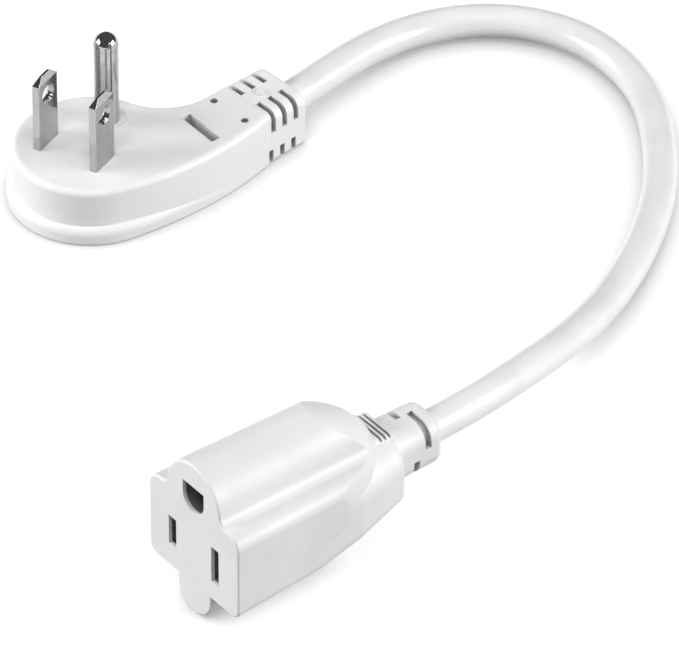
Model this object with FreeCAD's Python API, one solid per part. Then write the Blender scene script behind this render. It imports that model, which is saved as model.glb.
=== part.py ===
import FreeCAD, Part
import math
import os

# A short three-core extension cord: a flat plug, one loop of round cord and a three-hole socket.
# Millimetres. The plug lies on its flat back, prongs up, with the middle of its round head at the origin.

# Prongs
blade_spacing = 12.7
blade_width = 6.35
blade_thickness = 1.52
blade_length = 16.5
blade_tip_height = 1.45
blade_tip_width = 2.6
blade_tip_thickness = 0.4
blade_hole_d = 3.2
blade_hole_rim_d = 4.1
blade_hole_height = 11.8
pin_d = 4.78
pin_offset = 11.89
pin_length = 20.6
pin_nose_height = 3.0
pin_nose_flat_d = 0.9
pin_seam_width = 0.3
pin_seam_depth = 0.6
pin_seam_turn = -35.0
pin_root_d = 4.0
prongs_x = -1.3
prongs_y = -3.9

# Plug housing
plug_thickness = 12.2
head_r = 15.2
flange_lip = 1.1
flange_thickness = 4.2
flange_round = 2.0
top_round = 1.2
back_round = 0.6
neck_turn = -14.4
neck_offset = 11.08
neck_half_width = 6.5
waist_r = 12.5
side_r = 65.0
flange_blend_r = 84.0
recess_length = 9.5
recess_width = 2.0
recess_depth = 3.0
recess_at = 18.4
recess_turn = -6.2
pinhole_d = 1.55
pinhole_depth = 4.0
pinhole_spacing = 8.46
pinhole_at = 26.0

# Plug strain relief
relief_start = 30.33
relief_end = 40.6
relief_half_width = 6.75
relief_aside = -0.3
relief_end_top = 11.8
relief_shoulder = 2.0
relief_step = 0.1
relief_round = 2.2
relief_end_round = 2.6
relief_back_round = 1.2
relief_rim = 1.0
relief_rows = 3
relief_pitch = 2.95
relief_first = 30.9
slot_width = 1.15
slot_depth = 1.5
slot_spine_half = 1.9
slot_upper_from = 7.4
slot_upper_lag = 0.65
slot_lower_to = 3.3
stud_d = 2.0
stud_height = 0.25
stud_at = 34.3

# Cord and its cores
cord_d = 6.7
cord_floor_gap = 0.05
plug_cord_z = 6.0
plug_jacket_end = 24.0
plug_cord_bend = 40.0
socket_cord_bend = 61.0
core_d = 2.5
core_ring_r = 1.5
conductor_d = 1.3
strip_length = 1.0
barrel_d = 3.0
barrel_length = 3.2
arc_share = 0.45

# Inner pieces of the plug
bridge_bottom = 8.9
bridge_top = 10.7
bridge_margin = 2.6
bridge_boss_r = 3.9
bridge_boss_proud = 0.12
bridge_corner_r = 2.0
line_barrel_y = -2.0
neutral_barrel_y = 1.5
ground_barrel_y = 8.8

# Socket housing
socket_x = 81.9
socket_y = -94.3
socket_turn = -20.67
ear_half_width = 13.3
ear_top = 10.5
ear_bottom = -8.5
ear_top_r = 3.0
ear_bottom_r = 2.2
lobe_r = 7.8
lobe_blend_r = 2.0
tab_r = 4.9
tab_centre = -10.0
tab_level = 18.0
tab_end = 32.0
body_draft = 0.038
face_round = 0.4
bell_from = 20.0
bell_half_width = 13.0
bell_reach = 20.5
bell_half_height = 16.0
bell_centre = 4.0
tail_end = 43.0
tail_end_half_width = 8.0
tail_end_top = 7.4
tail_end_bottom = -6.5
tail_end_round = 1.5
tail_corner_r = 5.5
tail_under_r = 3.6
tail_shoulder = 30.0
tail_shoulder_half_width = 11.8
tail_shoulder_bottom = -7.0
tail_shoulder_top = 8.4
tongue_half_width = 4.4
tongue_top = 8.3
tongue_end = 42.8
tongue_round = 1.0
rib_count = 3
rib_pitch = 1.0
rib_groove = 0.5
rib_depth = 0.6
collar_end = 54.2
collar_half_width = 5.6
collar_half_height = 5.9
collar_centre = 0.9
collar_r = 4.2
collar_draft = 0.45
collar_rim = 1.8
collar_slot_width = 1.35
collar_slot_depth = 1.5
upper_slot_at = 50.4
upper_slot_past = 0.8
upper_slot_low = 0.6
lower_slot_at = 47.7
lower_slot_from = 0.4
lower_slot_top = -1.2

# Socket openings, core and contacts
socket_skin = 0.8
blade_slot_width = 2.2
line_slot_height = 6.6
neutral_slot_height = 8.2
ground_hole_r = 3.1
ground_hole_top = 2.8
core_half_width = 10.2
core_bottom = -6.4
core_top = 7.6
core_lobe_half_width = 5.2
core_lobe_top = 17.0
core_length = 21.2
core_corner_r = 1.5
cell_half_width = 1.9
cell_half_height = 4.6
ground_cell_r = 3.9
cell_end = 19.0
contact_front = 5.2
contact_height = 6.0
contact_sheet = 0.5
contact_outer_half = 1.6
contact_pinch_half = 0.6
contact_pinch_at = 8.5
contact_flare_half = 1.5
ground_sleeve_r = 2.85
ground_sleeve_slit = 0.8
socket_jacket_end = 42.0

# Places that follow from the sizes above
socket_z = tab_r - tab_centre
neck_place = FreeCAD.Placement(
    FreeCAD.Vector(
        neck_offset * math.cos(math.radians(neck_turn)), neck_offset * math.sin(math.radians(neck_turn)), 0
    ),
    FreeCAD.Rotation(FreeCAD.Vector(0, 0, 1), neck_turn),
)
socket_place = FreeCAD.Placement(
    FreeCAD.Vector(socket_x, socket_y, socket_z), FreeCAD.Rotation(FreeCAD.Vector(0, 0, 1), socket_turn)
)
flange_r = head_r + flange_lip
boss_top = plug_thickness + bridge_boss_proud
line_x = prongs_x + blade_spacing / 2
neutral_x = prongs_x - blade_spacing / 2
pin_y = prongs_y + pin_offset
low_core_z = plug_cord_z - core_ring_r / 2
high_core_z = plug_cord_z + core_ring_r
core_side = core_ring_r * math.cos(math.radians(30))


def point(x, y, z=0.0):
    return FreeCAD.Vector(x, y, z)


def around(centre, radius, degrees):
    """The point at an angle on a circle in plan."""
    turn = math.radians(degrees)
    return centre + point(radius * math.cos(turn), radius * math.sin(turn))


def angle_of(centre, place):
    """The angle of a place seen from a centre, in degrees."""
    return math.degrees(math.atan2(place.y - centre.y, place.x - centre.x))


def arc(centre, radius, start, end):
    """A plan arc from one angle to another."""
    middle = around(centre, radius, (start + end) / 2)
    return Part.Arc(around(centre, radius, start), middle, around(centre, radius, end)).toShape()


def line(start, end):
    return Part.LineSegment(start, end).toShape()


def circles_meet(first, first_r, second, second_r):
    """Where two plan circles cross, on the left of the way from the first to the second."""
    way = second - first
    gap = way.Length
    along = (gap**2 + first_r**2 - second_r**2) / (2 * gap)
    aside = math.sqrt(first_r**2 - along**2)
    ahead = way / gap
    return first + ahead * along + point(-ahead.y, ahead.x) * aside


def rounded_outline(corners):
    """A closed wire in the XY plane through corners (x, y, radius), each rounded."""
    ends = []
    for before, here, after in zip(corners[-1:] + corners[:-1], corners, corners[1:] + corners[:1]):
        spot = point(here[0], here[1])
        back = (point(before[0], before[1]) - spot).normalize()
        ahead = (point(after[0], after[1]) - spot).normalize()
        half = back.getAngle(ahead) / 2
        reach = here[2] / math.tan(half)
        middle = (back + ahead).normalize()
        depth = here[2] / math.sin(half) - here[2]
        ends.append((spot + back * reach, spot + middle * depth, spot + ahead * reach))
    edges = []
    for here, after in zip(ends, ends[1:] + ends[:1]):
        if here[0].distanceToPoint(here[2]) > 1e-6:
            edges.append(Part.Arc(*here).toShape())
        if here[2].distanceToPoint(after[0]) > 1e-6:
            edges.append(line(here[2], after[0]))
    return Part.Wire(edges)


def stood_up(shape, along):
    """A plan shape turned to face along Y, its own Y up, and moved along Y."""
    turned = shape.copy()
    turned.Placement = FreeCAD.Placement(point(0, along), FreeCAD.Rotation(point(1, 0), 90))
    return turned


def prism(wire, height):
    return Part.Face(wire).extrude(point(0, 0, height))


def bar(wire, start, end):
    """A solid of one section along Y."""
    return Part.Face(stood_up(wire, start)).extrude(point(0, end - start))


def block(x0, x1, y0, y1, z0, z1):
    return Part.makeBox(x1 - x0, y1 - y0, z1 - z0, point(x0, y0, z0))


def rod(radius, start, end):
    way = end - start
    return Part.makeCylinder(radius, way.Length, start, way)


def joined(first, *others):
    return first.fuse(list(others)).removeSplitter()


def cut(solid, *tools):
    return solid.cut(list(tools))


def placed(shape, place):
    moved = shape.copy()
    moved.Placement = place.multiply(moved.Placement)
    return moved


def route(points):
    """Straight runs joined by tangent arcs, each as large as its two runs allow, and the arcs' radii."""
    edges = []
    radii = []
    last = points[0]
    for before, here, after in zip(points, points[1:], points[2:]):
        back = before - here
        ahead = after - here
        reach = arc_share * min(back.Length, ahead.Length)
        half = back.getAngle(ahead) / 2
        back.normalize()
        ahead.normalize()
        radius = reach * math.tan(half)
        middle = (back + ahead).normalize()
        entry = here + back * reach
        leave = here + ahead * reach
        top = here + middle * (radius / math.sin(half) - radius)
        edges.append(line(last, entry))
        edges.append(Part.Arc(entry, top, leave).toShape())
        radii.append(radius)
        last = leave
    edges.append(line(last, points[-1]))
    return Part.Wire(edges), radii


def tube(path, diameter):
    """A round solid along a route."""
    first = path.OrderedEdges[0]
    start = first.valueAt(first.FirstParameter)
    way = first.tangentAt(first.FirstParameter)
    section = Part.Wire(Part.makeCircle(diameter / 2, start, way))
    return path.makePipeShell([section], True, False)


def in_neck(across, along, z):
    return neck_place.multVec(point(across, along, z))


def in_socket(across, along, z):
    return socket_place.multVec(point(across, along, z))


# The cord's route: along the plug's neck, round one loop on the floor, up into the socket's collar
cord_floor_z = cord_d / 2 + cord_floor_gap
cord_route = [
    in_neck(0, plug_jacket_end, plug_cord_z),
    in_neck(0, plug_cord_bend, plug_cord_z),
    point(23.0, 52.0, 5.4),
    point(25.0, 64.0, 4.0),
    point(30.0, 74.5, cord_floor_z),
    point(38.0, 82.0, cord_floor_z),
    point(48.5, 86.5, cord_floor_z),
    point(59.5, 86.8, cord_floor_z),
    point(70.0, 83.0, cord_floor_z),
    point(79.0, 76.5, cord_floor_z),
    point(87.0, 66.5, cord_floor_z),
    point(94.5, 54.0, cord_floor_z),
    point(100.0, 38.5, cord_floor_z),
    point(103.5, 21.0, 4.4),
    point(106.0, 3.0, 8.6),
    point(106.5, -15.0, 13.2),
    in_socket(0, socket_cord_bend, collar_centre),
    in_socket(0, socket_jacket_end, collar_centre),
]


def cord_jacket():
    """The free cord as one plain round solid."""
    path, radii = route(cord_route)
    solid = tube(path, cord_d)
    print("cord arcs", [round(r, 1) for r in radii])
    print("cord length", round(path.Length, 1))
    return solid


def plan_centres():
    """Middles of the plan's arcs, along the neck: head, waist, outer side and flange blend."""
    head = point(-neck_offset, 0)
    waist_x = -neck_half_width - waist_r
    waist = point(waist_x, math.sqrt((head_r + waist_r) ** 2 - (waist_x - head.x) ** 2))
    side = circles_meet(head, side_r - head_r, point(neck_half_width, relief_start), side_r)
    blend = circles_meet(head, flange_blend_r - flange_r, side, flange_blend_r - side_r)
    return head, waist, side, blend


def body_plan():
    """Head and neck in plan: a round head, a hollow waist behind it and one long outer curve."""
    head, waist, side, blend = plan_centres()
    outer = point(neck_half_width, relief_start)
    inner = point(-neck_half_width, relief_start)
    waist_end = point(-neck_half_width, waist.y)
    waist_turn = angle_of(head, waist)
    side_touch = angle_of(side, head)
    return Part.Wire(
        [
            line(outer, inner),
            line(inner, waist_end),
            arc(waist, waist_r, 0, waist_turn - 180),
            arc(head, head_r, waist_turn, 360 + side_touch),
            arc(side, side_r, side_touch, angle_of(side, outer)),
        ]
    )


def flange_plan():
    """The back flange: a wider round that runs out into the neck's outer side."""
    head, waist, side, blend = plan_centres()
    inside_neck = 60
    start = angle_of(blend, head)
    end = angle_of(blend, side)
    return Part.Wire(
        [
            arc(head, flange_r, inside_neck, 360 + start),
            arc(blend, flange_blend_r, start, end),
            line(around(blend, flange_blend_r, end), around(head, flange_r, inside_neck)),
        ]
    )


def edges_at(solid, height, skip_along=None, kinds=None):
    """The edges that lie level at a height, apart from those at one place along Y."""
    found = []
    for edge in solid.Edges:
        box = edge.BoundBox
        level = abs(box.ZMin - height) < 1e-4 and abs(box.ZMax - height) < 1e-4
        skipped = skip_along is not None and box.YLength < 1e-4 and abs(box.YMin - skip_along) < 1e-4
        if level and not skipped:
            if kinds is None or isinstance(edge.Curve, kinds):
                found.append(edge)
    return found


def relief_section(along, aside, half_width, top, round_top, round_back):
    """A section across the neck, rounded more at the top than at the back."""
    left = aside - half_width
    right = aside + half_width
    wire = rounded_outline(
        [
            (left, relief_step, round_back),
            (right, relief_step, round_back),
            (right, top, round_top),
            (left, top, round_top),
        ]
    )
    return stood_up(wire, along)


def plug_relief():
    """The strain relief: it tapers to the cord, with rows of slots at its four corners."""
    half = relief_half_width
    start_half = neck_half_width - relief_step
    start_top = plug_thickness - relief_step
    shoulder = relief_start + relief_shoulder
    share = relief_shoulder / (relief_end - relief_start)
    shoulder_top = start_top + (relief_end_top - start_top) * share
    sections = [
        relief_section(relief_start, 0, start_half, start_top, top_round, back_round),
        relief_section(shoulder, relief_aside, half, shoulder_top, relief_round, relief_back_round),
        relief_section(relief_end, relief_aside, half, relief_end_top, relief_end_round, relief_back_round),
    ]
    solid = Part.makeLoft(sections, True, True)
    rim = [edge for edge in solid.Edges if abs(edge.BoundBox.YMin - relief_end) < 1e-4]
    solid = solid.makeFillet(relief_rim, rim)
    core = relief_core()
    return cut(solid, *[slot.cut(core) for slot in relief_slots()])


def relief_core():
    """The solid middle that the slots stop at."""
    left = relief_aside - relief_half_width + slot_depth
    right = relief_aside + relief_half_width - slot_depth
    top = relief_end_top - slot_depth
    wire = rounded_outline(
        [
            (left, slot_depth, relief_round),
            (right, slot_depth, relief_round),
            (right, top, relief_round),
            (left, top, relief_round),
        ]
    )
    return bar(wire, pinhole_at, relief_end)


def relief_slots():
    """Slot cutters: two upper and two lower corners in each row."""
    reach = 2 * neck_half_width
    slots = []
    for row in range(relief_rows):
        low = relief_first + row * relief_pitch - slot_width / 2
        high = low + slot_upper_lag
        for near, far in ((slot_spine_half, reach), (-reach, -slot_spine_half)):
            slots.append(block(near, far, low, low + slot_width, -plug_thickness, slot_lower_to))
            slots.append(block(near, far, high, high + slot_width, slot_upper_from, 2 * plug_thickness))
    return slots


def plug_shell():
    """The plug's outer form, along the neck, before the inner pieces are taken out."""
    body = prism(body_plan(), plug_thickness)
    body = body.makeFillet(top_round, edges_at(body, plug_thickness, skip_along=relief_start))
    flange = prism(flange_plan(), flange_thickness)
    rounds = edges_at(flange, flange_thickness, kinds=Part.Circle)
    flange = flange.makeFillet(flange_round, rounds)
    body = joined(body, flange)
    body = body.makeFillet(back_round, edges_at(body, 0, skip_along=relief_start))
    half_l = recess_length / 2
    half_w = recess_width / 2
    recess = block(-half_l, half_l, -half_w, half_w, -recess_depth, recess_depth)
    recess.Placement = FreeCAD.Placement(
        point(0, recess_at, plug_thickness), FreeCAD.Rotation(point(0, 0, 1), recess_turn)
    )
    holes = []
    for x in (-pinhole_spacing / 2, pinhole_spacing / 2):
        mouth = point(x, pinhole_at, plug_thickness)
        holes.append(rod(pinhole_d / 2, mouth - point(0, 0, pinhole_depth), mouth))
    share = (stud_at - relief_start) / (relief_end - relief_start)
    stud_base = plug_thickness + (relief_end_top - plug_thickness) * share
    stud = rod(stud_d / 2, point(0, stud_at, stud_base - 1), point(0, stud_at, stud_base + stud_height))
    solid = joined(body, plug_relief(), stud)
    return placed(cut(solid, recess, *holes), neck_place)


def barrel(start, end):
    """A crimp barrel with room for the bare strands."""
    return cut(rod(barrel_d / 2, start, end), rod(conductor_d / 2, start, end))


def blade(x, barrel_y, barrel_z):
    """A flat blade with a hipped tip, a hole, and a tail that ends in a crimp barrel."""
    half_t = blade_thickness / 2
    half_w = blade_width / 2
    shoulder = plug_thickness + blade_length - blade_tip_height
    strip = block(x - half_t, x + half_t, prongs_y - half_w, prongs_y + half_w, bridge_bottom, shoulder)
    sections = []
    for height, thickness, width in (
        (shoulder, blade_thickness, blade_width),
        (shoulder + blade_tip_height, blade_tip_thickness, blade_tip_width),
    ):
        corners = [(-1, -1), (1, -1), (1, 1), (-1, 1)]
        spots = [point(x + i * thickness / 2, prongs_y + j * width / 2, height) for i, j in corners]
        sections.append(Part.makePolygon(spots + spots[:1]))
    tip = Part.makeLoft(sections, True, True)
    tail_low = barrel_z - barrel_d / 2
    tail_near = min(prongs_y, barrel_y) - barrel_d / 2
    tail_far = max(prongs_y, barrel_y) + barrel_d / 2
    tail = block(x - half_t, x + half_t, tail_near, tail_far, tail_low, bridge_bottom)
    crimp_start = point(x + half_t, barrel_y, barrel_z)
    crimp = barrel(crimp_start, crimp_start + point(barrel_length, 0))
    hole_z = plug_thickness + blade_hole_height
    sink = (blade_hole_rim_d - blade_hole_d) / 2
    hole = rod(blade_hole_d / 2, point(x - half_t, prongs_y, hole_z), point(x + half_t, prongs_y, hole_z))
    rims = []
    for side in (-1, 1):
        mouth = point(x + side * half_t, prongs_y, hole_z)
        rims.append(Part.makeCone(blade_hole_rim_d / 2, blade_hole_d / 2, sink, mouth, point(-side, 0)))
    return cut(joined(strip, tip, tail, crimp), hole, *rims)


def ground_pin():
    """A round pin with a domed nose and a seam; its narrower root in the plug ends in a crimp barrel."""
    radius = pin_d / 2
    root_r = pin_root_d / 2
    top = plug_thickness + pin_length
    shoulder = top - pin_nose_height
    root = low_core_z - barrel_d / 2
    middle = point(
        pin_nose_flat_d / 2 + (radius - pin_nose_flat_d / 2) * math.cos(math.radians(45)),
        0,
        shoulder + pin_nose_height * math.sin(math.radians(45)),
    )
    nose_edge = point(pin_nose_flat_d / 2, 0, top)
    outline = Part.Wire(
        [
            line(point(0, 0, root), point(root_r, 0, root)),
            line(point(root_r, 0, root), point(root_r, 0, boss_top)),
            line(point(root_r, 0, boss_top), point(radius, 0, boss_top)),
            line(point(radius, 0, boss_top), point(radius, 0, shoulder)),
            Part.Arc(point(radius, 0, shoulder), middle, nose_edge).toShape(),
            line(nose_edge, point(0, 0, top)),
            line(point(0, 0, top), point(0, 0, root)),
        ]
    )
    pin = Part.Face(outline).revolve(point(0, 0), point(0, 0, 1), 360)
    seam = block(
        radius - pin_seam_depth, radius + 1, -pin_seam_width / 2, pin_seam_width / 2, boss_top, top + 1
    )
    seam.Placement = FreeCAD.Placement(point(0, 0), FreeCAD.Rotation(point(0, 0, 1), pin_seam_turn))
    pin = placed(cut(pin, seam), FreeCAD.Placement(point(prongs_x, pin_y), FreeCAD.Rotation()))
    crimp_start = point(prongs_x, ground_barrel_y, low_core_z)
    crimp_end = crimp_start + point(root_r + barrel_length, 0)
    root_clear = rod(conductor_d / 2, crimp_start + point(root_r, 0), crimp_end)
    return cut(pin.fuse(rod(barrel_d / 2, crimp_start, crimp_end)), root_clear)


def plug_bridge(prongs):
    """The carrier plate round the prongs' roots, with a boss that reaches the face round the ground pin."""
    half_x = blade_spacing / 2 + bridge_margin
    low_y = prongs_y - blade_width / 2 - bridge_margin
    high_y = pin_y + pin_d / 2 + bridge_margin
    corners = [
        (prongs_x - half_x, low_y, bridge_corner_r),
        (prongs_x + half_x, low_y, bridge_corner_r),
        (prongs_x + half_x, pin_y, bridge_corner_r),
        (prongs_x + pin_d, high_y, bridge_corner_r),
        (prongs_x - pin_d, high_y, bridge_corner_r),
        (prongs_x - half_x, pin_y, bridge_corner_r),
    ]
    plate = prism(rounded_outline(corners), bridge_top - bridge_bottom)
    plate.translate(point(0, 0, bridge_bottom))
    boss = rod(
        bridge_boss_r,
        point(prongs_x, pin_y, bridge_bottom),
        point(prongs_x, pin_y, boss_top),
    )
    return cut(joined(plate, boss), *prongs)


def plug_wiring():
    """Each core's insulated lead and its bare end, from the stripped jacket to its crimp barrel."""
    pieces = {}
    ends = {
        "neutral": (0, high_core_z, neutral_x + blade_thickness / 2, neutral_barrel_y),
        "line": (core_side, low_core_z, line_x + blade_thickness / 2, line_barrel_y),
        "ground": (-core_side, low_core_z, prongs_x + pin_root_d / 2, ground_barrel_y),
    }
    for name, (across, z, barrel_x, barrel_y) in ends.items():
        start = in_neck(across, plug_jacket_end, z)
        way = in_neck(across, 0, z) - start
        corner = start + way * ((barrel_y - start.y) / way.y)
        crimp_mouth = point(barrel_x + barrel_length, barrel_y, z)
        stop = crimp_mouth + point(strip_length, 0)
        path, radii = route([start, corner, stop])
        pieces["plug_" + name + "_lead"] = tube(path, core_d)
        pieces["plug_" + name + "_conductor"] = rod(conductor_d / 2, stop, point(barrel_x, barrel_y, z))
    return pieces


def socket_outline(along):
    """Ears and top lobe across the socket, with the mould's draft."""
    inset = body_draft * along
    half = ear_half_width - inset
    top = ear_top - inset / 2
    bottom = ear_bottom + inset
    lobe = lobe_r - inset / 2
    centre = point(0, pin_offset)
    blend_y = top + lobe_blend_r
    blend = point(math.sqrt((lobe + lobe_blend_r) ** 2 - (blend_y - pin_offset) ** 2), blend_y)
    touch = angle_of(centre, blend)
    right = [
        line(point(0, bottom), point(half - ear_bottom_r, bottom)),
        arc(point(half - ear_bottom_r, bottom + ear_bottom_r), ear_bottom_r, -90, 0),
        line(point(half, bottom + ear_bottom_r), point(half, top - ear_top_r)),
        arc(point(half - ear_top_r, top - ear_top_r), ear_top_r, 0, 90),
        line(point(half - ear_top_r, top), point(blend.x, top)),
        arc(blend, lobe_blend_r, -90, touch - 180),
        arc(centre, lobe, touch, 90),
    ]
    left = [edge.mirror(point(0, 0), point(1, 0)) for edge in right]
    return stood_up(Part.Wire(Part.__sortEdges__(right + left)), along)


def socket_tab():
    """The rounded rib under the face, which runs out under the body."""
    section = Part.Wire(
        [
            line(point(tab_r, tab_centre), point(tab_r, 0)),
            line(point(tab_r, 0), point(-tab_r, 0)),
            line(point(-tab_r, 0), point(-tab_r, tab_centre)),
            arc(point(0, tab_centre), tab_r, 180, 360),
        ]
    )
    rib = bar(section, 0, tab_end)
    front = [edge for edge in rib.Edges if edge.BoundBox.YMax < 1e-4 and edge.BoundBox.ZMin < -1]
    rib = rib.makeFillet(face_round, front)
    low = tab_centre - tab_r
    rise = tail_shoulder_bottom - low
    run = tab_end - tab_level
    sweep_r = (run**2 + rise**2) / (2 * rise)
    lift = math.asin(run / sweep_r)
    middle = point(0, tab_level + sweep_r * math.sin(lift / 2), low + sweep_r * (1 - math.cos(lift / 2)))
    under = Part.Wire(
        [
            line(point(0, tab_level, low), point(0, tab_level, low - 1)),
            line(point(0, tab_level, low - 1), point(0, tab_end + 1, low - 1)),
            line(point(0, tab_end + 1, low - 1), point(0, tab_end + 1, low + rise)),
            line(point(0, tab_end + 1, low + rise), point(0, tab_end, low + rise)),
            Part.Arc(point(0, tab_end, low + rise), middle, point(0, tab_level, low)).toShape(),
        ]
    )
    waste = Part.Face(under).extrude(point(4 * tab_r, 0))
    waste.translate(point(-2 * tab_r, 0))
    return cut(rib, waste)


def tail_section(along, half_width, bottom, top, corner_r, under_r):
    wire = rounded_outline(
        [
            (-half_width, bottom, under_r),
            (half_width, bottom, under_r),
            (half_width, top, corner_r),
            (-half_width, top, corner_r),
        ]
    )
    return stood_up(wire, along)


def socket_tail():
    """The tail: it closes in from the ears to the collar."""
    inset = body_draft * bell_from
    start = tail_section(
        bell_from, ear_half_width - inset, ear_bottom + inset, tail_shoulder_top, tail_corner_r, ear_bottom_r
    )
    shoulder = tail_section(
        tail_shoulder,
        tail_shoulder_half_width,
        tail_shoulder_bottom,
        tail_shoulder_top,
        tail_corner_r,
        tail_under_r,
    )
    end = tail_section(
        tail_end, tail_end_half_width, tail_end_bottom, tail_end_top, tail_corner_r, tail_under_r
    )
    front = Part.makeLoft([start, shoulder], True, True)
    rear = Part.makeLoft([shoulder, end], True, True)
    rim = [edge for edge in rear.Edges if abs(edge.BoundBox.YMin - tail_end) < 1e-4]
    return joined(front, rear.makeFillet(tail_end_round, rim))


def socket_tongue():
    """The raised tongue on the tail's top behind the bell, cut across into fine grip ribs."""
    half = tongue_half_width
    wire = rounded_outline(
        [
            (-half, 0, tongue_round),
            (half, 0, tongue_round),
            (half, tongue_top, tongue_round),
            (-half, tongue_top, tongue_round),
        ]
    )
    grooves = []
    for number in range(1, rib_count + 1):
        start = tongue_end - number * rib_pitch
        grooves.append(
            block(-2 * half, 2 * half, start, start + rib_groove, tongue_top - rib_depth, 2 * tongue_top)
        )
    return cut(bar(wire, tail_shoulder, tongue_end), *grooves)


def collar_section(along, shrink):
    half = collar_half_width - shrink
    tall = collar_half_height - shrink
    corner = collar_r - shrink
    wire = rounded_outline(
        [
            (-half, collar_centre - tall, corner),
            (half, collar_centre - tall, corner),
            (half, collar_centre + tall, corner),
            (-half, collar_centre + tall, corner),
        ]
    )
    return stood_up(wire, along)


def collar_slots():
    """Strain relief slots: one pair at two corners, the other pair a little further in at the other two."""
    reach = 2 * collar_half_height
    slots = []
    for along, left, bottom, top in (
        (upper_slot_at, -upper_slot_past, upper_slot_low, reach),
        (lower_slot_at, lower_slot_from, -reach, lower_slot_top),
    ):
        start = along - collar_slot_width / 2
        end = start + collar_slot_width
        core = Part.makeLoft(
            [collar_section(start, collar_slot_depth), collar_section(end, collar_slot_depth)], True, True
        )
        slot = block(left, reach, start, end, collar_centre + bottom, collar_centre + top)
        other = slot.copy()
        other.rotate(point(0, 0, collar_centre), point(0, 1), 180)
        slots.append(slot.cut(core))
        slots.append(other.cut(core))
    return slots


def socket_collar():
    """The round-cornered collar that grips the cord."""
    solid = Part.makeLoft(
        [collar_section(tail_shoulder, 0), collar_section(collar_end, collar_draft)], True, True
    )
    rim = [edge for edge in solid.Edges if abs(edge.BoundBox.YMin - collar_end) < 1e-4]
    return cut(solid.makeFillet(collar_rim, rim), *collar_slots())


def socket_shell():
    """The socket's outer form before its openings and inner pieces are taken out."""
    front = Part.makeLoft([socket_outline(0), socket_outline(bell_from)], True, True)
    rim = [edge for edge in front.Edges if edge.BoundBox.YMax < 1e-4]
    front = front.makeFillet(face_round, rim)
    bell_end = bell_from + bell_reach
    rear = Part.makeLoft([socket_outline(bell_from), socket_outline(bell_end)], True, True)
    stretch = FreeCAD.Matrix()
    stretch.scale(bell_half_width, bell_reach, bell_half_height)
    egg = Part.makeSphere(1).transformGeometry(stretch)
    egg.translate(point(0, bell_from, bell_centre))
    bell = rear.common(egg)
    return joined(front, bell, socket_tail(), socket_tongue(), socket_tab(), socket_collar())


def slot_bar(x, half_width, half_height, start, end):
    return block(x - half_width, x + half_width, start, end, -half_height, half_height)


def ground_hole(start, end):
    """The D-shaped ground opening, flat at the top."""
    top = pin_offset + ground_hole_top
    section = Part.Wire(
        [
            line(point(ground_hole_r, pin_offset), point(ground_hole_r, top)),
            line(point(ground_hole_r, top), point(-ground_hole_r, top)),
            line(point(-ground_hole_r, top), point(-ground_hole_r, pin_offset)),
            arc(point(0, pin_offset), ground_hole_r, 180, 360),
        ]
    )
    return bar(section, start, end)


def socket_core():
    """The contact carrier behind the face: one block with a cell for each contact."""
    wide = rounded_outline(
        [
            (-core_half_width, core_bottom, core_corner_r),
            (core_half_width, core_bottom, core_corner_r),
            (core_half_width, core_top, core_corner_r),
            (-core_half_width, core_top, core_corner_r),
        ]
    )
    tall = rounded_outline(
        [
            (-core_lobe_half_width, 0, core_corner_r),
            (core_lobe_half_width, 0, core_corner_r),
            (core_lobe_half_width, core_lobe_top, core_corner_r),
            (-core_lobe_half_width, core_lobe_top, core_corner_r),
        ]
    )
    end = socket_skin + core_length
    cells = [
        slot_bar(x, cell_half_width, cell_half_height, socket_skin, cell_end)
        for x in (-blade_spacing / 2, blade_spacing / 2)
    ]
    cells.append(rod(ground_cell_r, point(0, socket_skin, pin_offset), point(0, cell_end, pin_offset)))
    return cut(joined(bar(wide, socket_skin, end), bar(tall, socket_skin, end)), *cells)


def crimp_tail(x, z):
    """The root that goes through the carrier's back wall, and its crimp barrel."""
    end = socket_skin + core_length
    root = rod(barrel_d / 2, point(x, cell_end, z), point(x, end, z))
    return joined(root, barrel(point(x, end, z), point(x, end + barrel_length, z)))


def blade_contact(x):
    """A folded spring clip: two leaves that pinch the blade, with a flared mouth."""
    leaves = []
    for side in (-1, 1):
        inner = [
            (contact_flare_half - contact_sheet, contact_front),
            (contact_pinch_half, contact_pinch_at),
            (contact_outer_half - contact_sheet, cell_end - contact_sheet),
        ]
        outer = [(u + contact_sheet, along) for u, along in reversed(inner)]
        spots = [point(x + side * u, along, -contact_height / 2) for u, along in inner + outer]
        leaves.append(Part.Face(Part.makePolygon(spots + spots[:1])).extrude(point(0, 0, contact_height)))
    back = block(
        x - contact_outer_half,
        x + contact_outer_half,
        cell_end - contact_sheet,
        cell_end,
        -contact_height / 2,
        contact_height / 2,
    )
    return joined(back, *leaves, crimp_tail(x, 0))


def ground_contact():
    """A split spring sleeve for the round pin."""
    front = point(0, contact_front, pin_offset)
    back = point(0, cell_end, pin_offset)
    wall = point(0, cell_end - contact_sheet, pin_offset)
    sleeve = cut(
        rod(ground_sleeve_r, front, back),
        rod(ground_sleeve_r - contact_sheet, front, wall),
        block(
            -ground_sleeve_slit / 2,
            ground_sleeve_slit / 2,
            contact_front,
            cell_end - contact_sheet,
            pin_offset,
            pin_offset + 2 * ground_sleeve_r,
        ),
    )
    return joined(sleeve, crimp_tail(0, pin_offset))


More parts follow.
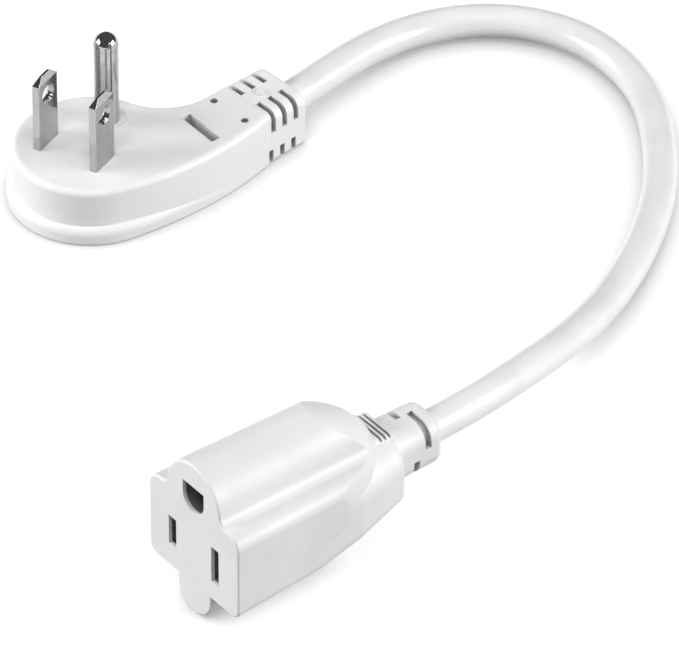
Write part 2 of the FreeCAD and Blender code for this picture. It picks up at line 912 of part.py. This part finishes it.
def socket_wiring():
    """Each core's insulated lead and its bare end, from its crimp barrel to the stripped jacket."""
    pieces = {}
    ends = {
        "neutral": (blade_spacing / 2, 0, core_side, collar_centre - core_ring_r / 2),
        "line": (-blade_spacing / 2, 0, -core_side, collar_centre - core_ring_r / 2),
        "ground": (0, pin_offset, 0, collar_centre + core_ring_r),
    }
    crimp = socket_skin + core_length
    stop = crimp + barrel_length + strip_length
    for name, (x, z, jacket_x, jacket_z) in ends.items():
        run = (socket_jacket_end - stop) / 4
        spots = [
            point(x, stop, z),
            point(x, stop + run, z),
            point(jacket_x, socket_jacket_end - run, jacket_z),
            point(jacket_x, socket_jacket_end, jacket_z),
        ]
        path, radii = route(spots)
        pieces["socket_" + name + "_lead"] = tube(path, core_d)
        pieces["socket_" + name + "_conductor"] = rod(conductor_d / 2, point(x, crimp, z), point(x, stop, z))
    return pieces


def socket_openings():
    """The three ways in through the face."""
    return [
        slot_bar(-blade_spacing / 2, blade_slot_width / 2, line_slot_height / 2, -1, socket_skin),
        slot_bar(blade_spacing / 2, blade_slot_width / 2, neutral_slot_height / 2, -1, socket_skin),
        ground_hole(-1, socket_skin),
    ]


def build():
    parts = {"cord": cord_jacket()}
    prongs = {
        "neutral_blade": blade(neutral_x, neutral_barrel_y, high_core_z),
        "line_blade": blade(line_x, line_barrel_y, low_core_z),
        "ground_pin": ground_pin(),
    }
    parts.update(prongs)
    wiring = plug_wiring()
    parts.update(wiring)
    parts["plug_bridge"] = plug_bridge(list(prongs.values()))
    inner = list(prongs.values()) + list(wiring.values())
    parts["plug_housing"] = cut(plug_shell(), parts["plug_bridge"], parts["cord"], *inner)

    contacts = {
        "socket_neutral_contact": blade_contact(blade_spacing / 2),
        "socket_line_contact": blade_contact(-blade_spacing / 2),
        "socket_ground_contact": ground_contact(),
    }
    wiring = socket_wiring()
    core = cut(socket_core(), *contacts.values())
    carrier = joined(
        core,
        *[
            slot_bar(x, cell_half_width, cell_half_height, socket_skin, cell_end)
            for x in (-blade_spacing / 2, blade_spacing / 2)
        ],
        rod(ground_cell_r, point(0, socket_skin, pin_offset), point(0, cell_end, pin_offset)),
    )
    housing = cut(socket_shell(), carrier, *contacts.values(), *wiring.values(), *socket_openings())
    own = {"socket_core": core, "socket_housing": housing}
    for pieces in (contacts, wiring, own):
        for name, solid in pieces.items():
            parts[name] = placed(solid, socket_place)
    parts["socket_housing"] = cut(parts["socket_housing"], parts["cord"])
    return parts


os.makedirs("parts", exist_ok=True)
for name, solid in build().items():
    solid.Solids[0].exportStep("parts/" + name + ".step")
    print(name, len(solid.Solids), round(solid.Volume, 2), solid.isValid())
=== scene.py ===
import math
import bpy
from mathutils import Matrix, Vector


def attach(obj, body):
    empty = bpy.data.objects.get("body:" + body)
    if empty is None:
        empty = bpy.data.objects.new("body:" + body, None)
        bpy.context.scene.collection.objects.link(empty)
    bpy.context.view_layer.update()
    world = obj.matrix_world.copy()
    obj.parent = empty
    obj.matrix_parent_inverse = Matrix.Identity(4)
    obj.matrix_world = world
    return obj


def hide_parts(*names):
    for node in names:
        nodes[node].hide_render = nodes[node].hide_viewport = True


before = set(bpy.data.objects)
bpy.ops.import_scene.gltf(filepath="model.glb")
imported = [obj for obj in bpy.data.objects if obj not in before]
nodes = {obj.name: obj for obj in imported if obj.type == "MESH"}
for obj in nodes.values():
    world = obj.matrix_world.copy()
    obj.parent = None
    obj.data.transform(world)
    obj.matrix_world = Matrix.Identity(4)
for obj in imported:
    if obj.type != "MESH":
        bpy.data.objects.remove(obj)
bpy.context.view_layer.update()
MM = 0.001

# Camera, as the photograph was taken: a long lens from the front right, well above the table.
IMAGE_WIDTH = 679
AIM = Vector((62.67, -11.70, 0.0)) * MM
AZIMUTH = math.radians(31.35)
ELEVATION = math.radians(39.1)
CAMERA_DISTANCE = 2.1767
SENSOR_WIDTH = 36.0
# The lens shows this many pixels for a millimetre that stands this far away.
PIXELS_PER_MM = 5.2525
SCALE_DISTANCE_MM = 2200.0
VIEW_REACH = 20.0

# The cord's route, the same points as the solid tube's, in millimetres.
CORD_DIAMETER = 6.7 * MM
CORD_ROUTE = (
    (16.70, 20.49, 6.0),
    (20.68, 35.99, 6.0),
    (23.0, 52.0, 5.4),
    (25.0, 64.0, 4.0),
    (30.0, 74.5, 3.4),
    (38.0, 82.0, 3.4),
    (48.5, 86.5, 3.4),
    (59.5, 86.8, 3.4),
    (70.0, 83.0, 3.4),
    (79.0, 76.5, 3.4),
    (87.0, 66.5, 3.4),
    (94.5, 54.0, 3.4),
    (100.0, 38.5, 3.4),
    (103.5, 21.0, 4.4),
    (106.0, 3.0, 8.6),
    (106.5, -15.0, 13.2),
    (103.43, -37.23, 15.8),
    (96.73, -55.0, 15.8),
)

# PVC, moulded and extruded
PVC_IOR = 1.53
SCATTER_WEIGHT = 0.05
SCATTER_DEPTH = 0.5 * MM
CLOUD_MM = 14.0
# The mould's real grain is about 0.1 mm, too fine to show here, so it is drawn coarser.
GRAIN_MM = 0.45
GRAIN_DEPTH = 0.02 * MM
# How far from the walls of slots and holes the painted shade reaches.
PAINTED_SHADE_REACH = 2.5 * MM
MOULDED_EDGE = 0.3 * MM
WAVE_MM = 9.0
WAVE_DEPTH = 0.15 * MM

# Metal, plated and bare
MARK_STRETCH = 0.04
MARK_DEPTH = 0.01 * MM
STAMPED_EDGE = 0.12 * MM
# Real draw marks are under 0.1 mm wide, too fine to show here, so they are drawn coarser.
BLADE_MARK_MM = 0.5
# The ground pin's marks are broad and dark: draw marks, and also painted reflection bands for what its
# plating mirrors.
PIN_MARK_AND_REFLECTION_MM = 2.1
CONTACT_MARK_MM = 0.35
STRAND_MARK_MM = 0.3

# Studio
FLOOR_SIZE = 6.0
FLOOR_DROP = 0.02 * MM
BOARD_GREY = "#868686"
BOARD_GLOW = 0.86
SHADED_GLOW = 0.35
CONTACT_SHADOW = 6.0 * MM
ROOM_LIGHT = 0.10


def linear(colour):
    """An sRGB hex value as linear red, green, blue and alpha."""
    channels = [int(colour[i:i + 2], 16) / 255 for i in (1, 3, 5)]
    return [c / 12.92 if c <= 0.04045 else ((c + 0.055) / 1.055) ** 2.4 for c in channels] + [1.0]


def add(tree, kind, settings=None, inputs=None, links=None):
    """Adds a node: settings are its properties, inputs its socket values, links its inputs' sources."""
    node = tree.nodes.new(kind)
    for name, value in (settings or {}).items():
        setattr(node, name, value)
    for name, value in (inputs or {}).items():
        node.inputs[name].default_value = value
    for name, source in (links or {}).items():
        tree.links.new(source, node.inputs[name])
    return node


def start(name):
    """A new material, with its tree emptied."""
    material = bpy.data.materials.new(name)
    material.use_nodes = True
    material.node_tree.nodes.clear()
    return material, material.node_tree


def per_mm(size):
    """Noise scale, per metre, for features that are size millimetres across."""
    return 1.0 / (size * MM)


def moulded_pvc(name, colour, shade, slot_painted_shade, roughness):
    """Injection moulded soft PVC: satin white with a fine spark-eroded grain, a cloudy gloss and painted
    shade in its slots.
    """
    material, tree = start(name)
    place = add(tree, "ShaderNodeTexCoord").outputs["Object"]
    cloud = add(
        tree, "ShaderNodeTexNoise",
        inputs={"Scale": per_mm(CLOUD_MM), "Detail": 2.0, "Roughness": 0.5},
        links={"Vector": place},
    )
    grain = add(
        tree, "ShaderNodeTexNoise",
        inputs={"Scale": per_mm(GRAIN_MM), "Detail": 3.0, "Roughness": 0.6},
        links={"Vector": place},
    )
    patch = add(
        tree, "ShaderNodeMapRange",
        inputs={"From Min": 0.35, "From Max": 0.75},
        links={"Value": cloud.outputs["Fac"]},
    )
    tint = add(
        tree, "ShaderNodeMix", {"data_type": "RGBA"},
        inputs={6: linear(colour), 7: linear(shade)},
        links={0: patch.outputs["Result"]},
    )
    # Slots, holes and grooves are painted greyer than the open faces, by how close their walls are: painted
    # shade.
    closeness = add(
        tree, "ShaderNodeAmbientOcclusion", {"samples": 8, "only_local": True},
        inputs={"Distance": PAINTED_SHADE_REACH},
    )
    open_air = add(
        tree, "ShaderNodeMapRange",
        inputs={"From Min": 0.25, "From Max": 0.72},
        links={"Value": closeness.outputs["AO"]},
    )
    surface = add(
        tree, "ShaderNodeMix", {"data_type": "RGBA"},
        inputs={6: linear(slot_painted_shade)},
        links={0: open_air.outputs["Result"], 7: tint.outputs[2]},
    )
    gloss = add(
        tree, "ShaderNodeMapRange",
        inputs={"From Min": 0.3, "From Max": 0.7, "To Min": roughness - 0.04, "To Max": roughness + 0.05},
        links={"Value": cloud.outputs["Fac"]},
    )
    bevel = add(tree, "ShaderNodeBevel", {"samples": 6}, inputs={"Radius": MOULDED_EDGE})
    bump = add(
        tree, "ShaderNodeBump",
        inputs={"Strength": 0.10, "Distance": GRAIN_DEPTH},
        links={"Height": grain.outputs["Fac"], "Normal": bevel.outputs["Normal"]},
    )
    shader = add(
        tree, "ShaderNodeBsdfPrincipled",
        inputs={"IOR": PVC_IOR, "Subsurface Weight": SCATTER_WEIGHT, "Subsurface Scale": SCATTER_DEPTH},
        links={
            "Base Color": surface.outputs[2],
            "Roughness": gloss.outputs["Result"],
            "Normal": bump.outputs["Normal"],
        },
    )
    add(tree, "ShaderNodeOutputMaterial", links={"Surface": shader.outputs["BSDF"]})
    return material


def extruded_pvc(name, colour, shade, roughness):
    """Extruded PVC jacket: glossier than the mouldings, with faint waves from the cores inside."""
    material, tree = start(name)
    place = add(tree, "ShaderNodeTexCoord").outputs["Object"]
    waves = add(
        tree, "ShaderNodeTexNoise",
        inputs={"Scale": per_mm(WAVE_MM), "Detail": 1.0},
        links={"Vector": place},
    )
    patch = add(
        tree, "ShaderNodeMapRange",
        inputs={"From Min": 0.4, "From Max": 0.8},
        links={"Value": waves.outputs["Fac"]},
    )
    tint = add(
        tree, "ShaderNodeMix", {"data_type": "RGBA"},
        inputs={6: linear(colour), 7: linear(shade)},
        links={0: patch.outputs["Result"]},
    )
    bump = add(
        tree, "ShaderNodeBump",
        inputs={"Strength": 0.15, "Distance": WAVE_DEPTH},
        links={"Height": waves.outputs["Fac"]},
    )
    shader = add(
        tree, "ShaderNodeBsdfPrincipled",
        inputs={
            "IOR": PVC_IOR, "Roughness": roughness, "Coat Weight": 0.5, "Coat Roughness": 0.15,
            "Subsurface Weight": SCATTER_WEIGHT, "Subsurface Scale": SCATTER_DEPTH,
        },
        links={"Base Color": tint.outputs[2], "Normal": bump.outputs["Normal"]},
    )
    add(tree, "ShaderNodeOutputMaterial", links={"Surface": shader.outputs["BSDF"]})
    return material


def bright_metal(name, colour, shade, roughness, mark_mm):
    """Stamped or drawn metal, plated or bare: it mirrors the board, with upright draw marks; where their
    shade is dark, they are painted reflection bands too.
    """
    material, tree = start(name)
    place = add(tree, "ShaderNodeTexCoord").outputs["Object"]
    along = add(
        tree, "ShaderNodeMapping",
        inputs={"Scale": (1.0, 1.0, MARK_STRETCH)},
        links={"Vector": place},
    )
    marks = add(
        tree, "ShaderNodeTexNoise",
        inputs={"Scale": per_mm(mark_mm), "Detail": 3.0, "Roughness": 0.6},
        links={"Vector": along.outputs["Vector"]},
    )
    marks_and_reflection_bands = add(
        tree, "ShaderNodeMapRange",
        inputs={"From Min": 0.5, "From Max": 0.75},
        links={"Value": marks.outputs["Fac"]},
    )
    tint = add(
        tree, "ShaderNodeMix", {"data_type": "RGBA"},
        inputs={6: linear(colour), 7: linear(shade)},
        links={0: marks_and_reflection_bands.outputs["Result"]},
    )
    gloss = add(
        tree, "ShaderNodeMapRange",
        inputs={"From Min": 0.3, "From Max": 0.7, "To Min": roughness - 0.02, "To Max": roughness + 0.05},
        links={"Value": marks.outputs["Fac"]},
    )
    bevel = add(tree, "ShaderNodeBevel", {"samples": 6}, inputs={"Radius": STAMPED_EDGE})
    bump = add(
        tree, "ShaderNodeBump",
        inputs={"Strength": 0.05, "Distance": MARK_DEPTH},
        links={"Height": marks.outputs["Fac"], "Normal": bevel.outputs["Normal"]},
    )
    shader = add(
        tree, "ShaderNodeBsdfPrincipled",
        inputs={"Metallic": 1.0},
        links={
            "Base Color": tint.outputs[2],
            "Roughness": gloss.outputs["Result"],
            "Normal": bump.outputs["Normal"],
        },
    )
    add(tree, "ShaderNodeOutputMaterial", links={"Surface": shader.outputs["BSDF"]})
    return material


def dress(names, material):
    """Gives the material to every slot of the named solids."""
    for name in names:
        for slot in nodes[name].material_slots:
            slot.material = material


def dress_mouldings():
    """The two white housings, and the carriers inside them, the socket's carrier painted dark grey as shade.
    """
    dress(["plug_housing"], moulded_pvc(
        "moulded_plug_pvc", colour="#F5F5F5", shade="#EFEFEF", slot_painted_shade="#A2A2A2", roughness=0.38))
    dress(["socket_housing"], moulded_pvc(
        "moulded_socket_pvc", colour="#E9E9E9", shade="#E2E2E2", slot_painted_shade="#A0A0A0", roughness=0.44))
    dress(["plug_bridge"], moulded_pvc(
        "moulded_carrier", colour="#EEEEEE", shade="#E6E6E6", slot_painted_shade="#8A8A8A", roughness=0.40))
    # The socket's carrier is painted dark grey: painted shade, seen through the slots and the ground hole.
    dress(["socket_core"], moulded_pvc(
        "socket_carrier_painted_shade", colour="#8C8C8C", shade="#7E7E7E", slot_painted_shade="#505050", roughness=0.45))


def dress_metal():
    """The prongs, the socket's contacts and the bare ends of the cores."""
    dress(["neutral_blade", "line_blade"], bright_metal(
        "stamped_nickel_plate", colour="#BABABA", shade="#A8A8A8", roughness=0.09, mark_mm=BLADE_MARK_MM))
    # The pin's broad dark marks are draw marks and also painted reflection bands.
    dress(["ground_pin"], bright_metal(
        "drawn_nickel_plate_painted_reflection", colour="#BEBEBE", shade="#6E6E6E", roughness=0.08, mark_mm=PIN_MARK_AND_REFLECTION_MM))
    dress(["socket_neutral_contact", "socket_line_contact", "socket_ground_contact"], bright_metal(
        "stamped_brass", colour="#D3B871", shade="#B39A55", roughness=0.25, mark_mm=CONTACT_MARK_MM))
    dress([name for name in nodes if name.endswith("_conductor")], bright_metal(
        "drawn_copper_strands", colour="#D08A66", shade="#A9684A", roughness=0.28, mark_mm=STRAND_MARK_MM))


def dress_cores():
    """The insulation of the three cores, at both ends of the cord."""
    dress(["plug_neutral_lead", "socket_neutral_lead"], extruded_pvc(
        "white_core_insulation", colour="#EDEDED", shade="#DEDEDE", roughness=0.30))
    dress(["plug_line_lead", "socket_line_lead"], extruded_pvc(
        "black_core_insulation", colour="#1C1C1D", shade="#262627", roughness=0.30))
    dress(["plug_ground_lead", "socket_ground_lead"], extruded_pvc(
        "green_core_insulation", colour="#1F7A3D", shade="#2A8A49", roughness=0.30))


def lay_cord():
    """The cord as one smooth spline, with its route's points as control points."""
    curve = bpy.data.curves.new("cord_jacket", "CURVE")
    curve.dimensions = "3D"
    curve.bevel_depth = CORD_DIAMETER / 2
    curve.bevel_resolution = 10
    curve.resolution_u = 16
    spline = curve.splines.new("NURBS")
    spline.points.add(len(CORD_ROUTE) - 1)
    for control, place in zip(spline.points, CORD_ROUTE):
        control.co = (*(Vector(place) * MM), 1.0)
    spline.order_u = 3
    spline.use_endpoint_u = True
    curve.materials.append(extruded_pvc(
        "extruded_white_pvc", colour="#EEEEEE", shade="#E6E6E6", roughness=0.30))
    cord = bpy.data.objects.new("cord_jacket", curve)
    bpy.context.scene.collection.objects.link(cord)
    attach(cord, "root")
    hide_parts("cord")


def matt_board():
    """Lit studio board: white to the eye and in the metal, with a soft painted contact shadow at the part.

    Its own grey keeps the light that it throws back low, and its glow makes up the white."""
    material, tree = start("lit_studio_board")
    board = add(tree, "ShaderNodeBsdfDiffuse", inputs={"Color": linear(BOARD_GREY)})
    path = add(tree, "ShaderNodeLightPath")
    seen = add(
        tree, "ShaderNodeMath", {"operation": "MAXIMUM"},
        links={0: path.outputs["Is Camera Ray"], 1: path.outputs["Is Glossy Ray"]},
    )
    seen = add(
        tree, "ShaderNodeMath", {"operation": "MAXIMUM"},
        links={0: seen.outputs[0], 1: path.outputs["Is Transmission Ray"]},
    )
    # The glow dims close to the part, by how much of the sky the part hides: a painted contact shadow.
    contact = add(tree, "ShaderNodeAmbientOcclusion", {"samples": 8}, inputs={"Distance": CONTACT_SHADOW})
    lift = add(
        tree, "ShaderNodeMapRange",
        inputs={"From Min": 0.25, "From Max": 0.88, "To Min": SHADED_GLOW, "To Max": BOARD_GLOW},
        links={"Value": contact.outputs["AO"]},
    )
    glow = add(
        tree, "ShaderNodeMath", {"operation": "MULTIPLY"},
        links={0: seen.outputs[0], 1: lift.outputs["Result"]},
    )
    lamp = add(tree, "ShaderNodeEmission", links={"Strength": glow.outputs[0]})
    both = add(tree, "ShaderNodeAddShader", links={0: board.outputs["BSDF"], 1: lamp.outputs["Emission"]})
    add(tree, "ShaderNodeOutputMaterial", links={"Surface": both.outputs["Shader"]})
    return material


def lay_floor():
    """The plain white floor under the part."""
    half = FLOOR_SIZE / 2
    mesh = bpy.data.meshes.new("studio_floor")
    corners = [(x, y, -FLOOR_DROP) for x, y in ((-half, -half), (half, -half), (half, half), (-half, half))]
    mesh.from_pydata(corners, [], [(0, 1, 2, 3)])
    mesh.materials.append(matt_board())
    floor = bpy.data.objects.new("studio_floor", mesh)
    bpy.context.scene.collection.objects.link(floor)


def direction(azimuth, elevation):
    """The way from the aim point to a camera or lamp; azimuth 0 is the front, and angles are in radians."""
    level = math.cos(elevation)
    return Vector((math.sin(azimuth) * level, -math.cos(azimuth) * level, math.sin(elevation)))


def softbox(name, azimuth, elevation, distance, width, height, power, mirrored=True):
    """A rectangular soft light that faces the part; mirrored says whether it shows in glossy surfaces."""
    away = direction(math.radians(azimuth), math.radians(elevation))
    light = bpy.data.lights.new(name, "AREA")
    light.shape = "RECTANGLE"
    light.size = width
    light.size_y = height
    light.energy = power
    lamp = bpy.data.objects.new(name, light)
    lamp.location = AIM + away * distance
    lamp.rotation_euler = away.to_track_quat("Z", "Y").to_euler()
    lamp.visible_glossy = mirrored
    bpy.context.scene.collection.objects.link(lamp)


def light_studio():
    """A low softbox at each side, one above the front, a weak one behind, and a dim room for the shadows."""
    softbox("left_softbox", azimuth=-56.0, elevation=18.0, distance=1.4, width=0.8, height=0.6, power=16.8)
    softbox("right_softbox", azimuth=108.0, elevation=20.0, distance=1.3, width=0.8, height=0.6, power=13.2)
    softbox("overhead_softbox", azimuth=26.0, elevation=66.0, distance=1.4, width=0.8, height=0.8,
            power=9.8, mirrored=False)
    softbox("rear_softbox", azimuth=214.0, elevation=20.0, distance=1.6, width=1.0, height=0.8,
            power=2.0, mirrored=False)
    world = bpy.data.worlds.new("grey_room")
    bpy.context.scene.world = world
    world.use_nodes = True
    room = world.node_tree.nodes["Background"]
    room.inputs["Color"].default_value = linear("#FFFFFF")
    room.inputs["Strength"].default_value = ROOM_LIGHT


def place_camera():
    """The camera, aimed so that the part falls in the frame as in the photograph."""
    back = direction(AZIMUTH, ELEVATION)
    lens = bpy.data.cameras.new("camera")
    lens.sensor_fit = "HORIZONTAL"
    lens.sensor_width = SENSOR_WIDTH
    lens.lens = PIXELS_PER_MM * SCALE_DISTANCE_MM * SENSOR_WIDTH / IMAGE_WIDTH
    lens.clip_end = VIEW_REACH
    camera = bpy.data.objects.new("camera", lens)
    camera.location = AIM + back * CAMERA_DISTANCE
    camera.rotation_euler = (-back).to_track_quat("-Z", "Y").to_euler()
    bpy.context.scene.collection.objects.link(camera)
    bpy.context.scene.camera = camera


place_camera()
lay_cord()
dress_mouldings()
dress_metal()
dress_cores()
lay_floor()
light_studio()
bpy.context.scene.view_settings.view_transform = "Standard"
